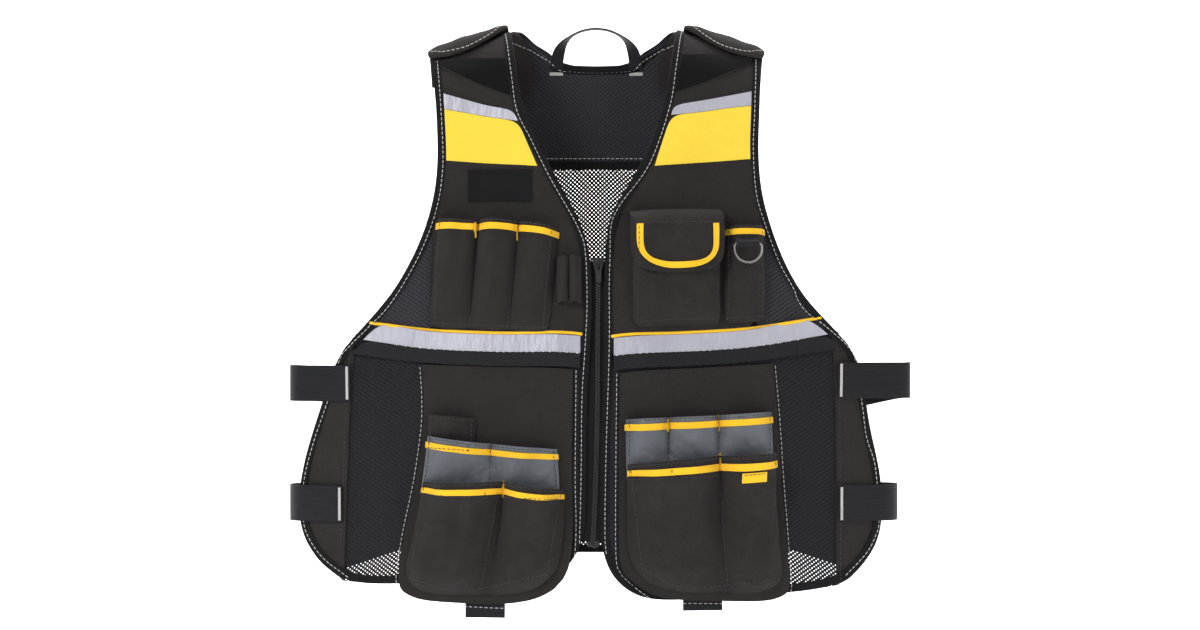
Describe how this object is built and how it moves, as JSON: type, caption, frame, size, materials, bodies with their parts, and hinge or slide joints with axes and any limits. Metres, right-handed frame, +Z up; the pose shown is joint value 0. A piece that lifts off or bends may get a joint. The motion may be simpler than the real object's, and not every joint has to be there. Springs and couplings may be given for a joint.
{
  "type": "utility work vest",
  "caption": "Sleeveless work vest of black cloth and mesh with yellow trim, a front zip, tool pockets, side straps and a hang loop.",
  "frame": {"origin": "middle of the neck opening at the height where the shoulders rest on the wearer", "axes": "+X to the right of the front view, +Y from the front to the back, +Z up"},
  "size_m": [0.6665, 0.1857, 0.6275],
  "materials": {
    "body_cloth": "woven, matt",
    "air_mesh": "open knit, matt",
    "binding": "woven tape",
    "webbing": "ribbed webbing",
    "yellow_trim": "woven tape",
    "yellow_cloth": "woven, bright",
    "reflective": "retro-reflective tape",
    "grey_satin": "satin weave",
    "loop_pile": "loop pile",
    "nickel": "plated, worn",
    "zip_plastic": "moulded"
  },
  "bodies": {
    "vest": {"front_panel_left": "body_cloth", "front_panel_right": "body_cloth", "side_wing_left": "body_cloth", "side_wing_right": "body_cloth", "shoulder_flap_left": "body_cloth", "shoulder_flap_right": "body_cloth", "back_yoke": "body_cloth", "pocket_panel_left": "body_cloth", "pocket_panel_right": "body_cloth", "chest_pockets": "body_cloth", "pen_loops": "body_cloth", "flap_pouch": "body_cloth", "pouch_flap": "body_cloth", "wrench_pocket": "body_cloth", "small_pocket": "body_cloth", "lower_pockets_left": "body_cloth", "lower_pockets_right": "body_cloth", "armhole_mesh_left": "air_mesh", "armhole_mesh_right": "air_mesh", "lower_mesh_left": "air_mesh", "lower_mesh_right": "air_mesh", "back_mesh": "air_mesh", "edge_binding_left": "binding", "edge_binding_right": "binding", "back_binding": "binding", "zip_tape_left": "binding", "zip_tape_right": "binding", "badge_patch": "binding", "waist_webbing_left": "webbing", "waist_webbing_right": "webbing", "bottom_tab_left": "webbing", "bottom_tab_right": "webbing", "side_strap_upper_left": "webbing", "side_strap_upper_right": "webbing", "side_strap_lower_left": "webbing", "side_strap_lower_right": "webbing", "hang_loop": "webbing", "ring_keeper": "webbing", "chest_pockets_band": "yellow_trim", "pouch_flap_band": "yellow_trim", "wrench_pocket_band": "yellow_trim", "middle_pockets_band": "yellow_trim", "lower_pockets_left_band": "yellow_trim", "tool_pockets_band": "yellow_trim", "lower_pockets_right_band": "yellow_trim", "pocket_label": "yellow_trim", "chest_panel_left": "yellow_cloth", "chest_panel_right": "yellow_cloth", "chest_reflective_left": "reflective", "chest_reflective_right": "reflective", "waist_reflective_left": "reflective", "waist_reflective_right": "reflective", "middle_pockets": "grey_satin", "tool_pockets": "grey_satin", "loop_patch_left": "loop_pile", "loop_patch_right": "loop_pile", "zip_chain": "zip_plastic", "zip_slider": "zip_plastic"},
    "d_ring": {"d_ring": "nickel"},
    "zip_pull": {"zip_pull": "zip_plastic"}
  },
  "joints": [
    {"name": "ring_swing", "type": "hinge", "parent": "vest", "child": "d_ring", "pos_m": [0.15882, -0.07189, -0.22442], "axis": [-0.9862, -0.1654, 0], "range_deg": [0, 150]},
    {"name": "pull_swing", "type": "hinge", "parent": "vest", "child": "zip_pull", "pos_m": [0.00253, -0.06689, -0.24396], "axis": [-1, -0.0031, 0], "range_deg": [0, 150]}
  ]
}
